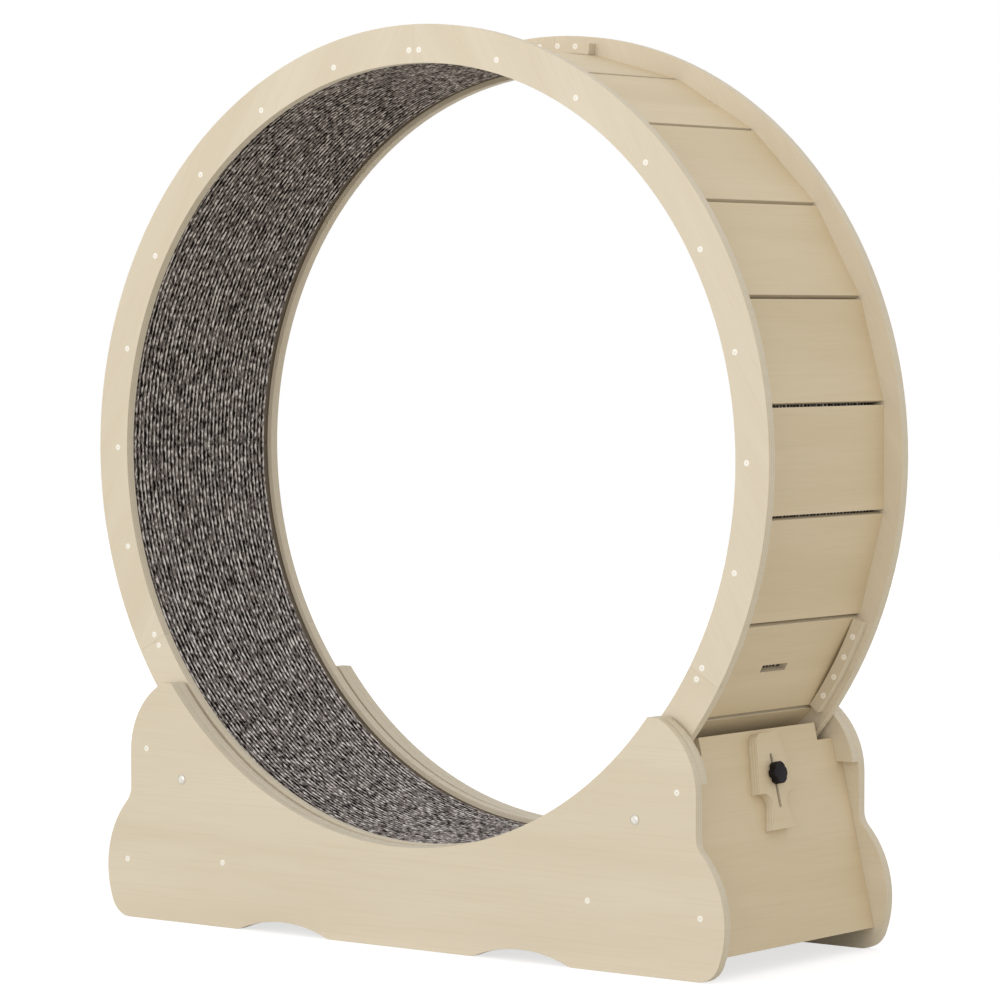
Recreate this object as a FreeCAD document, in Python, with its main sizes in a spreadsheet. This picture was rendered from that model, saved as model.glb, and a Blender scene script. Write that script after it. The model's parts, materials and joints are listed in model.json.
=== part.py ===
import FreeCAD, Part
import math
import os
import re

import Sketcher
from FreeCAD import Placement, Rotation, Vector

# A cat exercise wheel in plywood. A drum of slats between two rings, lined with carpet, runs on
# four grooved rollers inside a base of two side panels and two leaning end panels. A slider on
# the right end panel locks the drum, held by a knob.
# X is to the right, Y to the back, Z up from the floor. The drum turns about the Y direction.

SIZES = [
    ("boardThickness", 12, "rings, splice plates, base boards and lock slider"),
    ("fitGap", 0.2, "play between pieces that stand against each other"),
    ("slideGap", 0.1, "play between faces that slide or turn on each other"),
    ("floorGap", 74, "lowest point of the drum above the floor"),
    ("drumWidth", 282, "over the two rings"),
    ("drumSideGap", 5, "ring to liner"),
    ("ringOuterRadius", 500, ""),
    ("ringWidth", 45, ""),
    ("ringSegments", 3, "pieces in each ring"),
    ("slatCount", 24, ""),
    ("slatThickness", 9, ""),
    ("slatInset", 25.5, "ring edge to the outer face of a slat"),
    ("slatGap", 5, "between neighbours, at the outer face"),
    ("slotWidth", 50, "lock slot in one slat, across the drum"),
    ("slotHeight", 9.5, "lock slot in one slat, round the drum"),
    ("carpetThickness", 5, ""),
    ("carpetJoint", 1, "gap where the ends of the carpet meet"),
    ("spliceWidth", 14, "splice plate, measured outwards"),
    ("cradleGap", 1, "arc of the side panels outside the ring's inner edge"),
    ("tipAngle", 11.08, "end of that arc beyond the roller axles, in degrees"),
    ("shoulderRadius", 95, ""),
    ("shoulderDrop", 85, "centre of the shoulder arc below the flat tip"),
    ("shoulderReach", 66.6, "neck of the side panel beyond its arc"),
    ("neckFillet", 25, ""),
    ("footRadius", 118, "bulge of the side panel at its ends"),
    ("footHeight", 62, "centre of that bulge"),
    ("footReach", 17.3, "side panel beyond the lower edge of an end panel"),
    ("toeFillet", 30, ""),
    ("archShare", 0.387, "middle of a recess, as a share of the half length"),
    ("archHalfWidth", 70, ""),
    ("archHeight", 14, ""),
    ("archFillet", 20, ""),
    ("linerBottomHeight", 70, ""),
    ("linerBottomHalfWidth", 120, ""),
    ("linerRailGap", 6, "liner above a cross rail"),
    ("linerStepDrop", 72.3, "step of the liner beside the end panel, below the flat tip"),
    ("endTilt", 13.28, "lean of the end panels, in degrees"),
    ("endRingGap", 5.7, "ring edge to the notch of an end panel"),
    ("endAngle", 8.58, "that notch beyond the roller axles, in degrees"),
    ("endBottomHeight", 26, ""),
    ("endNotchDepth", 20.5, "cut in its upper corners for the rings"),
    ("endDrumGap", 1, "end panel to splice plates and liner to end panel"),
    ("railInset", 66, "cross rail inside the roller axles"),
    ("railHeight", 50, ""),
    ("railMiddleHeight", 78, ""),
    ("rollerAngle", 40.4, "roller axles from straight below the drum axis, in degrees"),
    ("rollerGrooveRadius", 24.3, ""),
    ("rollerGap", 0.3, "roller groove to ring edge"),
    ("rollerFlange", 4.2, "height of the roller's flanges over its groove"),
    ("rollerWidth", 21, ""),
    ("rollerLand", 3, "flat of each flange"),
    ("rollerSidePlay", 0.4, "ring to flange"),
    ("bearingRadius", 11, ""),
    ("bearingWidth", 7, ""),
    ("bearingSeatGap", 0.02, "bearing in its roller"),
    ("raceWall", 1.8, "inner and outer race of a bearing"),
    ("shieldDepth", 0.4, "outer shield of a bearing below its races"),
    ("axleRadius", 4, ""),
    ("axleGap", 0.05, "bearings, spacers and boards on an axle"),
    ("axleHeadRadius", 6, ""),
    ("axleHeadHeight", 2.4, ""),
    ("axleHeadFlat", 3.6, "radius of the flat on an axle's head"),
    ("axleHeadRim", 0.8, "straight edge of an axle's head"),
    ("axleTail", 2, "end of an axle beyond its nut"),
    ("spacerWall", 1.7, "tube between the bearings of a roller"),
    ("nutWidth", 13, "across its flats"),
    ("nutHeight", 6.5, ""),
    ("lockBoltRadius", 2.4, ""),
    ("lockBoltRise", 63.7, "lock bolt above the slider's bottom"),
    ("lockBoltHeadRadius", 6.5, ""),
    ("lockBoltHeadHeight", 2.5, ""),
    ("lockBoltHeadFlat", 3.9, "radius of the flat on the lock bolt's head"),
    ("lockBoltHeadRim", 1.25, "straight edge of the lock bolt's head"),
    ("sliderTopGap", 4.8, "tip of the lock slider below the end panel's top edge"),
    ("sliderLength", 111, ""),
    ("tongueHalfWidth", 24, "lock slider at its tongue"),
    ("tongueRadius", 12, "corners of the tongue"),
    ("wingHalfWidth", 36, "lock slider at its widest"),
    ("wingHeight", 42.4, "lower edge of the wings above the slider's bottom"),
    ("waistHalfWidth", 13.5, ""),
    ("waistRadius", 14, ""),
    ("gripHalfWidth", 22, "lock slider at its bottom"),
    ("slitBottom", 24.4, "ends of the slit above the slider's bottom"),
    ("slitTop", 86.8, ""),
    ("slitHalfWidth", 2.5, ""),
    ("washerRadius", 8, ""),
    ("washerThickness", 1, ""),
    ("knobRadius", 13, ""),
    ("knobHeight", 8.5, ""),
    ("knobLobes", 6, ""),
    ("knobScallopRadius", 4, ""),
    ("knobScallopDistance", 15, "axis to the centre of a scallop"),
    ("knobEdge", 1.2, "chamfer round its top"),
    ("knobBore", 6, "depth of the bolt's hole"),
]
NAMES = {name for name, _, _ in SIZES}
NEAR = 0.01  # within this an edge counts as standing at a place

# Sizes that follow from those above, in millimetres and degrees.
DERIVED = {
    "ringInnerRadius": "ringOuterRadius - ringWidth",
    "axisHeight": "ringOuterRadius + floorGap",
    "slatDistance": "ringOuterRadius - slatInset",
    "slatHalfWidth": "slatDistance * tan(180 / slatCount) - slatGap / 2",
    "slatCorner": "sqrt(slatDistance ^ 2 + slatHalfWidth ^ 2)",
    "carpetRadius": "slatDistance - slatThickness - fitGap",
    "cradleRadius": "ringInnerRadius + cradleGap",
    "ringBack": "drumWidth / 2 - boardThickness",
    "spliceBack": "ringBack - boardThickness",
    "linerFace": "drumWidth / 2 + drumSideGap",
    "panelFace": "linerFace + boardThickness",
    "panelOutside": "panelFace + boardThickness",
    "rollerDistance": "ringOuterRadius + rollerGap + rollerGrooveRadius",
    "rollerSpread": "rollerDistance * sin(rollerAngle)",
    "axleHeight": "axisHeight - rollerDistance * cos(rollerAngle)",
    "rollerMiddle": "drumWidth / 2 - boardThickness / 2",
    "tipDistance": "cradleRadius * sin(rollerAngle + tipAngle)",
    "tipHeight": "axisHeight - cradleRadius * cos(rollerAngle + tipAngle)",
    "shoulderHeight": "tipHeight - shoulderDrop",
    "neckHalfWidth": "tipDistance + shoulderReach",
    "shoulderMiddle": "neckHalfWidth - shoulderRadius",
    "notchRadius": "ringOuterRadius + endRingGap",
    "notchDistance": "notchRadius * sin(rollerAngle + endAngle)",
    "notchHeight": "axisHeight - notchRadius * cos(rollerAngle + endAngle)",
    "notchRise": "notchHeight - endBottomHeight + boardThickness * sin(endTilt)",
    "endNotch": "notchRise / cos(endTilt)",
    "endLength": "endNotch + endNotchDepth",
    "endReach": "notchDistance + endNotch * sin(endTilt) + boardThickness * cos(endTilt)",
    "baseHalfLength": "endReach + footReach",
    "footMiddle": "baseHalfLength - footRadius",
    "archDistance": "baseHalfLength * archShare",
    "railDistance": "rollerSpread - railInset",
    "railTop": "railMiddleHeight + railHeight / 2",
    "linerStepHeight": "tipHeight - linerStepDrop",
    "endLean": "(linerStepHeight - endBottomHeight) * tan(endTilt)",
    "endInsideAtStep": "endReach - endLean - boardThickness / cos(endTilt)",
    "endShoulder": "(linerStepHeight - endBottomHeight) / cos(endTilt) - fitGap",
    "sliderBottom": "endLength - sliderTopGap - sliderLength",
    "lockBoltHeight": "sliderBottom + lockBoltRise",
    "sliderTop": "boardThickness + slideGap",
    "washerTop": "sliderTop + slideGap + washerThickness",
    "knobFoot": "washerTop + slideGap",
}

doc = FreeCAD.newDocument("CatExerciseWheel")
sheet = doc.addObject("Spreadsheet::Sheet", "Sizes")
for row, (name, value, meaning) in enumerate(SIZES, start=1):
    sheet.set(f"A{row}", meaning)
    sheet.set(f"B{row}", str(value))
    sheet.setAlias(f"B{row}", name)
doc.recompute()


def formula(text):
    """The text with derived sizes written out and each size's name pointed at its cell."""

    def written(match):
        name = match[0]
        if name in DERIVED:
            return f"({formula(DERIVED[name])})"
        return f"Sizes.{name}" if name in NAMES else name

    return re.sub(r"[A-Za-z]\w*", written, text)


def number(text):
    return float(sheet.evalExpression(formula(text)))


def place(piece, x="0", y="0", z="0", turn=None, angle=None):
    """Puts a piece at a point, turned by a formula's angle about the axis given."""
    rotation = Rotation() if turn is None else Rotation(turn, number(angle))
    piece.Placement = Placement(Vector(number(x), number(y), number(z)), rotation)
    for axis, text in (("x", x), ("y", y), ("z", z)):
        if text != "0":
            piece.setExpression(f"Placement.Base.{axis}", formula(text))
    if turn is not None and number(angle) > 0:
        piece.setExpression("Placement.Rotation.Angle", formula(angle))


def newBody(label):
    body = doc.addObject("PartDesign::Body", label)
    body.Label = label
    return body


def originPlane(body, role):
    return next(o for o in body.Origin.OriginFeatures if o.Role == role)


def newSketch(body, role, offset="0"):
    """A sketch on one of the body's own planes, shifted along that plane's normal."""
    sketch = body.newObject("Sketcher::SketchObject", f"{body.Name}_sketch")
    sketch.AttachmentSupport = [(originPlane(body, role), "")]
    sketch.MapMode = "FlatFace"
    if offset != "0":
        sketch.setExpression("AttachmentOffset.Base.z", formula(offset))
    return sketch


def pin(sketch, edge, end, x, y):
    """Ties an edge's end to its place, measured from the sketch's origin."""
    for kind, text, axis in (("DistanceX", x, -2), ("DistanceY", y, -1)):
        if text == "0":
            sketch.addConstraint(Sketcher.Constraint("PointOnObject", edge, end, axis))
        else:
            index = sketch.addConstraint(
                Sketcher.Constraint(kind, -1, 1, edge, end, number(text))
            )
            sketch.setExpression(f"Constraints[{index}]", formula(text))


def arcThrough(start, end, radius, side):
    """The lesser arc between two points, with its centre to the left or right of the way."""
    chord = end - start
    toCentre = math.sqrt(radius**2 - chord.Length**2 / 4)
    leftward = Vector(-chord.y, chord.x, 0).normalize()
    centre = (start + end) / 2 + leftward * (toCentre if side == "left" else -toCentre)
    first, last = (start, end) if side == "left" else (end, start)
    angles = [math.atan2(p.y - centre.y, p.x - centre.x) for p in (first, last)]
    circle = Part.Circle(centre, Vector(0, 0, 1), radius)
    return Part.ArcOfCircle(circle, angles[0], angles[1])


def outline(sketch, corners, arcs=None):
    """A closed outline. The edge from corner i to the next is an arc if arcs has i."""
    arcs = arcs or {}
    points = [Vector(number(x), number(y), 0) for x, y in corners]
    first = sketch.GeometryCount
    starts, ends = [], []
    for i, point in enumerate(points):
        following = points[(i + 1) % len(points)]
        if i in arcs:
            radius, side = arcs[i]
            sketch.addGeometry(arcThrough(point, following, number(radius), side), False)
            starts.append(1 if side == "left" else 2)
        else:
            sketch.addGeometry(Part.LineSegment(point, following), False)
            starts.append(1)
        ends.append(3 - starts[i])
    for i, (x, y) in enumerate(corners):
        before = (i - 1) % len(points)
        sketch.addConstraint(
            Sketcher.Constraint("Coincident", first + before, ends[before], first + i, starts[i])
        )
        pin(sketch, first + i, starts[i], x, y)
    for i, (radius, _) in arcs.items():
        index = sketch.addConstraint(Sketcher.Constraint("Radius", first + i, number(radius)))
        sketch.setExpression(f"Constraints[{index}]", formula(radius))


def circle(sketch, x, y, radius):
    shape = Part.Circle(Vector(number(x), number(y), 0), Vector(0, 0, 1), number(radius))
    edge = sketch.addGeometry(shape, False)
    pin(sketch, edge, 3, x, y)
    index = sketch.addConstraint(Sketcher.Constraint("Radius", edge, number(radius)))
    sketch.setExpression(f"Constraints[{index}]", formula(radius))


def pad(body, sketch, length, both=False, reverse=False):
    feature = body.newObject("PartDesign::Pad", f"{body.Name}_pad")
    feature.Profile = sketch
    feature.setExpression("Length", formula(length))
    feature.SideType = "Symmetric" if both else "One side"
    feature.Reversed = reverse
    return feature


def cut(body, sketch):
    """A pocket both ways from the sketch, through all of the body."""
    feature = body.newObject("PartDesign::Pocket", f"{body.Name}_cut")
    feature.Profile = sketch
    feature.SideType = "Symmetric"
    feature.Type = "ThroughAll"
    return feature


def revolve(body, sketch, axis="V_Axis"):
    feature = body.newObject("PartDesign::Revolution", f"{body.Name}_turned")
    feature.Profile = sketch
    feature.ReferenceAxis = (sketch, [axis])
    feature.Angle = 360
    return feature


def mirror(body, feature, role):
    mirrored = body.newObject("PartDesign::Mirrored", f"{body.Name}_mirrored")
    mirrored.Originals = [feature]
    mirrored.MirrorPlane = (originPlane(body, role), [""])
    body.Tip = mirrored
    return mirrored


def polar(body, feature, role, count):
    pattern = body.newObject("PartDesign::PolarPattern", f"{body.Name}_pattern")
    pattern.Originals = [feature]
    pattern.Axis = (originPlane(body, role), [""])
    pattern.Angle = 360
    pattern.setExpression("Occurrences", formula(count))
    body.Tip = pattern
    return pattern


def fillet(body, base, radius, spots):
    """Rounds the edges that stand square to a board's face at the given places."""
    doc.recompute()
    places = [(number(x), number(z)) for x, z in spots]
    edges = []
    for i, edge in enumerate(base.Shape.Edges, start=1):
        middle = edge.BoundBox.Center
        if edge.BoundBox.DiagonalLength > number("boardThickness") + NEAR:
            continue
        if any(math.hypot(abs(middle.x) - x, middle.z - z) < NEAR for x, z in places):
            edges.append(f"Edge{i}")
    feature = body.newObject("PartDesign::Fillet", f"{body.Name}_fillet")
    feature.Base = (base, edges)
    feature.setExpression("Radius", formula(radius))
    return feature


def makeRingSegment(label, backFace, angle):
    """A third of a ring, built upright about the axis and turned to its place."""
    body = newBody(label)
    half = "(180 / ringSegments)"
    sketch = newSketch(body, "XZ_Plane")
    corners = [
        (f"-ringOuterRadius * sin{half}", f"ringOuterRadius * cos{half}"),
        (f"ringOuterRadius * sin{half}", f"ringOuterRadius * cos{half}"),
        (f"ringInnerRadius * sin{half}", f"ringInnerRadius * cos{half}"),
        (f"-ringInnerRadius * sin{half}", f"ringInnerRadius * cos{half}"),
    ]
    outline(sketch, corners, {0: ("ringOuterRadius", "right"), 2: ("ringInnerRadius", "left")})
    pad(body, sketch, "boardThickness")
    place(body, y=backFace, z="axisHeight", turn=Vector(0, 1, 0), angle=angle)


def makeSplicePlate(label, backFace, angle):
    """Bridges a seam of a ring, on its inner side, between slat and ring edge."""
    body = newBody(label)
    inner = "(slatCorner + fitGap)"
    outer = f"({inner} + spliceWidth)"
    half = f"asin(slatHalfWidth / {inner})"
    sketch = newSketch(body, "XZ_Plane")
    corners = [
        (f"-{outer} * sin({half})", f"{outer} * cos({half})"),
        (f"{outer} * sin({half})", f"{outer} * cos({half})"),
        (f"{inner} * sin({half})", f"{inner} * cos({half})"),
        (f"-{inner} * sin({half})", f"{inner} * cos({half})"),
    ]
    outline(sketch, corners, {0: (outer, "right"), 2: (inner, "left")})
    pad(body, sketch, "boardThickness")
    place(body, y=backFace, z="axisHeight", turn=Vector(0, 1, 0), angle=angle)


def makeSlat(label, angle, slotted):
    body = newBody(label)
    sketch = newSketch(body, "XZ_Plane")
    corners = [
        ("-slatHalfWidth", "slatDistance - slatThickness"),
        ("slatHalfWidth", "slatDistance - slatThickness"),
        ("slatHalfWidth", "slatDistance"),
        ("-slatHalfWidth", "slatDistance"),
    ]
    outline(sketch, corners)
    pad(body, sketch, "2 * ringBack", both=True)
    if slotted:
        slot = newSketch(body, "XY_Plane", "slatDistance")
        corners = [
            ("-slotHeight / 2", "-slotWidth / 2"),
            ("slotHeight / 2", "-slotWidth / 2"),
            ("slotHeight / 2", "slotWidth / 2"),
            ("-slotHeight / 2", "slotWidth / 2"),
        ]
        outline(slot, corners)
        cut(body, slot)
    place(body, z="axisHeight", turn=Vector(0, 1, 0), angle=angle)


def makeCarpet(label):
    """The ribbed running surface, one strip whose ends meet on the left."""
    length = "2 * (ringBack - fitGap)"
    outer = doc.addObject("Part::Cylinder", f"{label}_outer")
    outer.setExpression("Radius", formula("carpetRadius"))
    outer.setExpression("Height", formula(length))
    outer.setExpression("Angle", formula("360 - carpetJoint / carpetRadius * 180 / pi"))
    inner = doc.addObject("Part::Cylinder", f"{label}_inner")
    inner.setExpression("Radius", formula("carpetRadius - carpetThickness"))
    inner.setExpression("Height", formula(length))
    carpet = doc.addObject("Part::Cut", label)
    carpet.Label = label
    carpet.Base = outer
    carpet.Tool = inner
    start = "-(ringBack - fitGap)"
    lying = Rotation(Vector(1, 0, 0), -90) * Rotation(Vector(0, 0, 1), 180)
    carpet.Placement = Placement(Vector(0, number(start), number("axisHeight")), lying)
    carpet.setExpression("Placement.Base.y", formula(start))
    carpet.setExpression("Placement.Base.z", formula("axisHeight"))


def shoulderPoint(height):
    """Where the shoulder arc of the side panels stands at a height."""
    return f"shoulderMiddle + sqrt(shoulderRadius ^ 2 - ({height} - shoulderHeight) ^ 2)"


def drillAxles(body):
    sketch = newSketch(body, "XZ_Plane")
    for side in ("-", ""):
        circle(sketch, f"{side}rollerSpread", "axleHeight", "axleRadius + axleGap")
    cut(body, sketch)


def makeSidePanel(label, backFace):
    """Half of the outline is drawn, from the middle foot round to the cradle, then mirrored."""
    body = newBody(label)
    neckFoot = "footHeight + sqrt(footRadius ^ 2 - (neckHalfWidth - footMiddle) ^ 2)"
    toe = "footMiddle + sqrt(footRadius ^ 2 - footHeight ^ 2)"
    archEnds = ["archDistance - archHalfWidth", "archDistance + archHalfWidth"]
    corners = [
        ("0", "0"),
        (archEnds[0], "0"),
        (archEnds[1], "0"),
        (toe, "0"),
        ("neckHalfWidth", neckFoot),
        ("neckHalfWidth", "shoulderHeight"),
        (shoulderPoint("tipHeight"), "tipHeight"),
        ("tipDistance", "tipHeight"),
        ("0", "axisHeight - cradleRadius"),
    ]
    arcs = {
        1: ("(archHalfWidth ^ 2 + archHeight ^ 2) / (2 * archHeight)", "right"),
        3: ("footRadius", "left"),
        5: ("shoulderRadius", "left"),
        7: ("cradleRadius", "right"),
    }
    sketch = newSketch(body, "XZ_Plane")
    outline(sketch, corners, arcs)
    half = pad(body, sketch, "boardThickness")
    whole = mirror(body, half, "YZ_Plane")
    necked = fillet(body, whole, "neckFillet", [("neckHalfWidth", neckFoot)])
    toed = fillet(body, necked, "toeFillet", [(toe, "0")])
    fillet(body, toed, "archFillet", [(end, "0") for end in archEnds])
    drillAxles(body)
    place(body, y=backFace)


def makeLiner(label, backFace):
    """The saddle inside a side panel: it doubles the cradle and carries the roller axles."""
    body = newBody(label)
    hip = "endInsideAtStep - endDrumGap"
    corners = [
        ("0", "linerBottomHeight"),
        ("linerBottomHalfWidth", "linerBottomHeight"),
        ("railDistance - boardThickness", "railTop + linerRailGap"),
        (hip, "railTop + linerRailGap"),
        (hip, "linerStepHeight"),
        (shoulderPoint("linerStepHeight"), "linerStepHeight"),
        (shoulderPoint("tipHeight"), "tipHeight"),
        ("tipDistance", "tipHeight"),
        ("0", "axisHeight - cradleRadius"),
    ]
    sketch = newSketch(body, "XZ_Plane")
    outline(sketch, corners, {5: ("shoulderRadius", "left"), 7: ("cradleRadius", "right")})
    half = pad(body, sketch, "boardThickness")
    mirror(body, half, "YZ_Plane")
    drillAxles(body)
    place(body, y=backFace)


def makeEndPanel(label, side, bolted):
    """A leaning board. Its corners are stepped back beside the liners and under the rings."""
    body = newBody(label)
    wide = "panelFace - fitGap"
    middle = "linerFace - fitGap"
    narrow = "spliceBack - endDrumGap"
    corners = [
        ("0", "0"),
        (wide, "0"),
        (wide, "endShoulder"),
        (middle, "endShoulder"),
        (middle, "endNotch"),
        (narrow, "endNotch"),
        (narrow, "endLength"),
        ("0", "endLength"),
    ]
    sketch = newSketch(body, "YZ_Plane")
    outline(sketch, corners)
    half = pad(body, sketch, "boardThickness", reverse=side > 0)
    mirror(body, half, "XZ_Plane")
    if bolted:
        hole = newSketch(body, "YZ_Plane")
        circle(hole, "0", "lockBoltHeight", "lockBoltRadius + axleGap")
        cut(body, hole)
    sign = "" if side > 0 else "-"
    lean = Vector(0, -side, 0)
    place(body, x=f"{sign}endReach", z="endBottomHeight", turn=lean, angle="endTilt")


def makeCrossRail(label, side):
    rail = doc.addObject("Part::Box", label)
    rail.Label = label
    rail.setExpression("Length", formula("boardThickness"))
    rail.setExpression("Width", formula("2 * (panelFace - fitGap)"))
    rail.setExpression("Height", formula("railHeight"))
    place(
        rail,
        x=f"{side} * railDistance - boardThickness / 2",
        y="-(panelFace - fitGap)",
        z="railMiddleHeight - railHeight / 2",
    )


def makeRoller(label, xSide, ySide):
    """A grooved roller that the edge of a ring stands in."""
    body = newBody(label)
    flangeRadius = "rollerGrooveRadius + rollerFlange"
    floor = "boardThickness / 2 + rollerSidePlay"
    bore = "bearingRadius + bearingSeatGap"
    corners = [
        (bore, "-rollerWidth / 2"),
        (flangeRadius, "-rollerWidth / 2"),
        (flangeRadius, "-rollerWidth / 2 + rollerLand"),
        ("rollerGrooveRadius", f"-({floor})"),
        ("rollerGrooveRadius", floor),
        (flangeRadius, "rollerWidth / 2 - rollerLand"),
        (flangeRadius, "rollerWidth / 2"),
        (bore, "rollerWidth / 2"),
    ]
    sketch = newSketch(body, "XY_Plane")
    outline(sketch, corners)
    revolve(body, sketch)
    place(body, x=f"{xSide} * rollerSpread", y=f"{ySide} * rollerMiddle", z="axleHeight")


def makeBearings(label, xSide, ySide):
    """Two shielded ball bearings, one in each end of a roller."""
    body = newBody(label)
    outside = "rollerWidth / 2"
    inside = "rollerWidth / 2 - bearingWidth"
    innerRace = "axleRadius + axleGap + raceWall"
    outerRace = "bearingRadius - raceWall"
    corners = [
        ("axleRadius + axleGap", inside),
        ("bearingRadius", inside),
        ("bearingRadius", outside),
        (outerRace, outside),
        (outerRace, f"{outside} - shieldDepth"),
        (innerRace, f"{outside} - shieldDepth"),
        (innerRace, outside),
        ("axleRadius + axleGap", outside),
    ]
    sketch = newSketch(body, "XY_Plane")
    outline(sketch, corners)
    one = revolve(body, sketch)
    mirror(body, one, "XZ_Plane")
    place(body, x=f"{xSide} * rollerSpread", y=f"{ySide} * rollerMiddle", z="axleHeight")


def atFourRollers(body, features):
    """Repeats what is made at the front right roller at the other three."""
    transform = body.newObject("PartDesign::MultiTransform", f"{body.Name}_four")
    transform.Originals = features
    steps = []
    for role in ("YZ_Plane", "XZ_Plane"):
        step = doc.addObject("PartDesign::Mirrored", f"{body.Name}_{role}")
        body.addObject(step)
        step.MirrorPlane = (originPlane(body, role), [""])
        steps.append(step)
    transform.Transformations = steps
    body.Tip = transform
    place(body, z="axleHeight")


def turnedAtRoller(body, corners):
    """Turns a profile of (radius, y) about the front right roller's axle line."""
    sketch = newSketch(body, "XY_Plane")
    outline(sketch, [(f"rollerSpread + {radius}", y) for radius, y in corners])
    start = Vector(number("rollerSpread"), 0, 0)
    axis = sketch.addGeometry(Part.LineSegment(start, start + Vector(0, 1, 0)), True)
    pin(sketch, axis, 1, "rollerSpread", "0")
    sketch.addConstraint(Sketcher.Constraint("Vertical", axis))
    sketch.addConstraint(Sketcher.Constraint("DistanceY", axis, 1, axis, 2, 1))
    return revolve(body, sketch, "Axis0")


def makeAxles(label):
    """Bolts through panel, liner and roller, their low heads on the panels' outer faces."""
    body = newBody(label)
    nutFace = "(rollerMiddle - rollerWidth / 2 - slideGap)"
    tip = f"-({nutFace} - nutHeight - axleTail)"
    corners = [
        ("0", tip),
        ("0", "-(panelOutside + axleHeadHeight)"),
        ("axleHeadFlat", "-(panelOutside + axleHeadHeight)"),
        ("axleHeadRadius", "-(panelOutside + axleHeadRim)"),
        ("axleHeadRadius", "-panelOutside"),
        ("axleRadius", "-panelOutside"),
        ("axleRadius", tip),
    ]
    atFourRollers(body, [turnedAtRoller(body, corners)])


def makeSpacers(label):
    """On each axle, a tube between the bearings and a washer between roller and liner."""
    body = newBody(label)
    bore = "axleRadius + axleGap"
    rim = f"{bore} + spacerWall"
    halfTube = "(rollerWidth / 2 - bearingWidth - slideGap)"
    tube = [
        (bore, f"-(rollerMiddle + {halfTube})"),
        (rim, f"-(rollerMiddle + {halfTube})"),
        (rim, f"-(rollerMiddle - {halfTube})"),
        (bore, f"-(rollerMiddle - {halfTube})"),
    ]
    washer = [
        (bore, "-linerFace"),
        (rim, "-linerFace"),
        (rim, "-(rollerMiddle + rollerWidth / 2 + slideGap)"),
        (bore, "-(rollerMiddle + rollerWidth / 2 + slideGap)"),
    ]
    atFourRollers(body, [turnedAtRoller(body, tube), turnedAtRoller(body, washer)])


def makeNuts(label):
    body = newBody(label)
    corner = "nutWidth / sqrt(3)"
    face = "(rollerMiddle - rollerWidth / 2 - slideGap)"
    sketch = newSketch(body, "XZ_Plane", f"{face} - nutHeight")
    sides = [60 * k for k in range(6)]
    outline(sketch, [(f"rollerSpread + {corner} * cos({a})", f"{corner} * sin({a})") for a in sides])
    circle(sketch, "rollerSpread", "0", "axleRadius + axleGap")
    atFourRollers(body, [pad(body, sketch, "nutHeight")])


def onEndPanel(body):
    """Gives a lock piece the frame of the right end panel: X out of it, Z up its slope."""
    lean = Vector(0, -1, 0)
    place(body, x="endReach", z="endBottomHeight", turn=lean, angle="endTilt")


def makeLockSlider(label):
    """A bell-shaped board with a tongue above, a flared grip below and a slit for the bolt."""
    body = newBody(label)
    top = "sliderBottom + sliderLength"
    wing = "sliderBottom + wingHeight"
    corners = [
        ("0", "sliderBottom"),
        ("gripHalfWidth", "sliderBottom"),
        ("waistHalfWidth", f"{wing} - waistRadius"),
        ("waistHalfWidth + waistRadius", wing),
        ("wingHalfWidth", wing),
        ("tongueHalfWidth", f"{top} - tongueRadius"),
        ("tongueHalfWidth - tongueRadius", top),
        ("0", top),
    ]
    sketch = newSketch(body, "YZ_Plane", "slideGap")
    outline(sketch, corners, {2: ("waistRadius", "right"), 5: ("tongueRadius", "left")})
    half = pad(body, sketch, "boardThickness")
    mirror(body, half, "XZ_Plane")
    low = "sliderBottom + slitBottom + slitHalfWidth"
    high = "sliderBottom + slitTop - slitHalfWidth"
    slit = newSketch(body, "YZ_Plane")
    corners = [
        ("-slitHalfWidth", low),
        ("0", f"{low} - slitHalfWidth"),
        ("slitHalfWidth", low),
        ("slitHalfWidth", high),
        ("0", f"{high} + slitHalfWidth"),
        ("-slitHalfWidth", high),
    ]
    rounded = {edge: ("slitHalfWidth", "left") for edge in (0, 1, 3, 4)}
    outline(slit, corners, rounded)
    cut(body, slit)
    onEndPanel(body)


def turnedAtLock(body, corners):
    """Turns a profile of (distance out of the end panel, radius) about the lock bolt's line."""
    sketch = newSketch(body, "XZ_Plane")
    outline(sketch, [(x, f"lockBoltHeight + {radius}") for x, radius in corners])
    start = Vector(0, number("lockBoltHeight"), 0)
    axis = sketch.addGeometry(Part.LineSegment(start, start + Vector(1, 0, 0)), True)
    pin(sketch, axis, 1, "0", "lockBoltHeight")
    sketch.addConstraint(Sketcher.Constraint("Horizontal", axis))
    sketch.addConstraint(Sketcher.Constraint("DistanceX", axis, 1, axis, 2, 1))
    return revolve(body, sketch, "Axis0")


def makeLockBolt(label):
    """A coach bolt with its flat head inside the end panel and its end in the knob."""
    body = newBody(label)
    end = "knobFoot + knobBore - fitGap"
    corners = [
        ("-boardThickness - lockBoltHeadHeight", "0"),
        (end, "0"),
        (end, "lockBoltRadius"),
        ("-boardThickness", "lockBoltRadius"),
        ("-boardThickness", "lockBoltHeadRadius"),
        ("-boardThickness - lockBoltHeadRim", "lockBoltHeadRadius"),
        ("-boardThickness - lockBoltHeadHeight", "lockBoltHeadFlat"),
    ]
    turnedAtLock(body, corners)
    onEndPanel(body)


def makeLockWasher(label):
    body = newBody(label)
    bore = "lockBoltRadius + axleGap"
    foot = "sliderTop + slideGap"
    corners = [(foot, bore), ("washerTop", bore), ("washerTop", "washerRadius"), (foot, "washerRadius")]
    turnedAtLock(body, corners)
    onEndPanel(body)


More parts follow.
